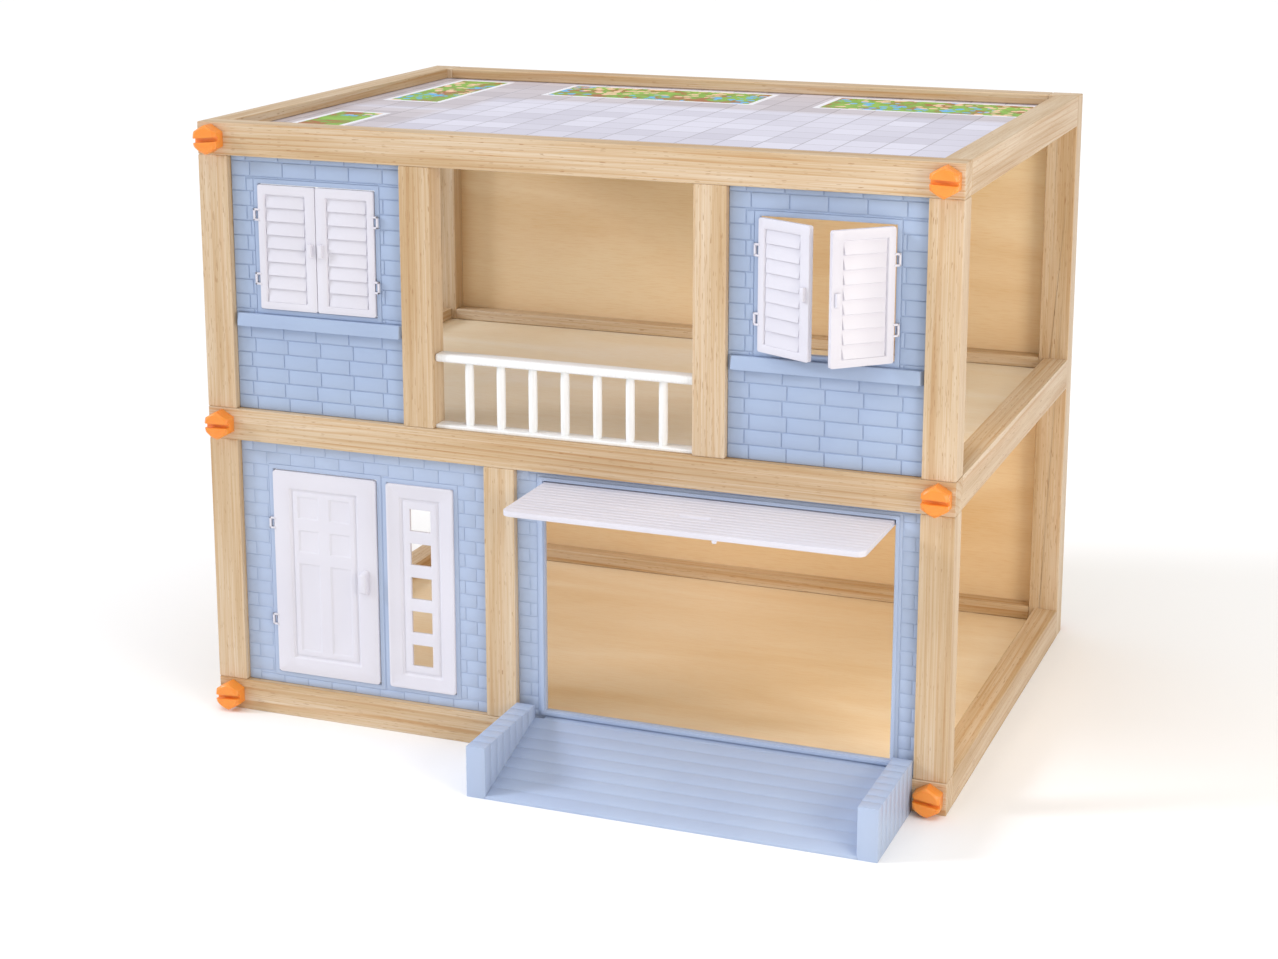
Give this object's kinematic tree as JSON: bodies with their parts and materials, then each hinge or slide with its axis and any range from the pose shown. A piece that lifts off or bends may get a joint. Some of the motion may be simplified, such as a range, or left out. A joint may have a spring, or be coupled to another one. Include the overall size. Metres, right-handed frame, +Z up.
{
  "type": "dollhouse",
  "caption": "Wooden dollhouse with open sides, blue brick-patterned front panels, hinged shutters and door, up-and-over garage door, ramp and balcony railing.",
  "frame": {"origin": "on the ground, in the middle of the whole object's footprint", "axes": "+X to the right seen from the front, +Y from the front to the back, +Z up"},
  "size_m": [0.6, 0.524, 0.475],
  "materials": {
    "pine": "planed, clear matt lacquer",
    "plywood": "sanded, clear matt lacquer",
    "blue_plastic": "moulded, satin",
    "white_plastic": "moulded, satin",
    "white_paint": "white painted wood, satin",
    "orange_plastic": "moulded, satin",
    "roof_print": "board with a printed terrace pattern, satin"
  },
  "bodies": {
    "root": {"back_bottom_rail": "pine", "back_mid_rail": "pine", "back_post_left": "pine", "back_post_right": "pine", "back_sheet": "plywood", "back_top_rail": "pine", "front_bottom_rail": "pine", "front_lower_mullion": "pine", "front_lower_post_left": "pine", "front_lower_post_right": "pine", "front_mid_rail": "pine", "front_top_rail": "pine", "front_upper_mullion_left": "pine", "front_upper_mullion_right": "pine", "front_upper_post_left": "pine", "front_upper_post_right": "pine", "garage_ramp": "blue_plastic", "ground_floor": "plywood", "mid_floor": "plywood", "railing_baluster_1": "white_paint", "railing_baluster_2": "white_paint", "railing_baluster_3": "white_paint", "railing_baluster_4": "white_paint", "railing_baluster_5": "white_paint", "railing_baluster_6": "white_paint", "railing_baluster_7": "white_paint", "railing_foot": "white_paint", "railing_handrail": "white_paint", "roof_board": "roof_print", "screw_back_bottom_left": "orange_plastic", "screw_back_bottom_right": "orange_plastic", "screw_back_mid_left": "orange_plastic", "screw_back_mid_right": "orange_plastic", "screw_back_top_left": "orange_plastic", "screw_back_top_right": "orange_plastic", "screw_front_bottom_left": "orange_plastic", "screw_front_bottom_right": "orange_plastic", "screw_front_mid_left": "orange_plastic", "screw_front_mid_right": "orange_plastic", "screw_front_top_left": "orange_plastic", "screw_front_top_right": "orange_plastic", "side_bottom_rail_left": "pine", "side_bottom_rail_right": "pine", "side_light": "white_plastic", "side_mid_rail_left": "pine", "side_mid_rail_right": "pine", "side_top_rail_left": "pine", "side_top_rail_right": "pine", "wall_panel_door": "blue_plastic", "wall_panel_garage": "blue_plastic", "wall_panel_upper_left": "blue_plastic", "wall_panel_upper_right": "blue_plastic"},
    "shutter_left_window_left": {"shutter_left_window_left": "white_plastic"},
    "shutter_left_window_right": {"shutter_left_window_right": "white_plastic"},
    "shutter_right_window_left": {"shutter_right_window_left": "white_plastic"},
    "shutter_right_window_right": {"shutter_right_window_right": "white_plastic"},
    "front_door": {"front_door": "white_plastic"},
    "garage_door_rod": {"garage_door_rod": "white_plastic"},
    "garage_door": {"garage_door": "white_plastic"}
  },
  "joints": [
    {"name": "hinge_shutter_left_window_left", "type": "hinge", "parent": "root", "child": "shutter_left_window_left", "pos_m": [-0.2544, -0.1661, 0], "axis": [0, 0, -1], "range_deg": [0, 150]},
    {"name": "hinge_shutter_left_window_right", "type": "hinge", "parent": "root", "child": "shutter_left_window_right", "pos_m": [-0.1496, -0.1661, 0], "axis": [0, 0, 1], "range_deg": [0, 150]},
    {"name": "hinge_shutter_right_window_left", "type": "hinge", "parent": "root", "child": "shutter_right_window_left", "pos_m": [0.1496, -0.1661, 0], "axis": [0, 0, -1], "range_deg": [-26, 124]},
    {"name": "hinge_shutter_right_window_right", "type": "hinge", "parent": "root", "child": "shutter_right_window_right", "pos_m": [0.2544, -0.1661, 0], "axis": [0, 0, 1], "range_deg": [-43, 107]},
    {"name": "hinge_front_door", "type": "hinge", "parent": "root", "child": "front_door", "pos_m": [-0.2499, -0.1661, 0], "axis": [0, 0, -1], "range_deg": [0, 140]},
    {"name": "slide_garage_rod", "type": "slide", "parent": "root", "child": "garage_door_rod", "axis": [0, 1, 0], "range_m": [-0.0916, 0]},
    {"name": "tilt_garage_door", "type": "hinge", "parent": "garage_door_rod", "child": "garage_door", "pos_m": [0.12, -0.066, 0.213], "axis": [1, 0, 0], "range_deg": [0, 90.1]}
  ],
  "couplings": [
    {"joint": "tilt_garage_door", "follows": "slide_garage_rod", "rad_per_m": -17.148}
  ]
}
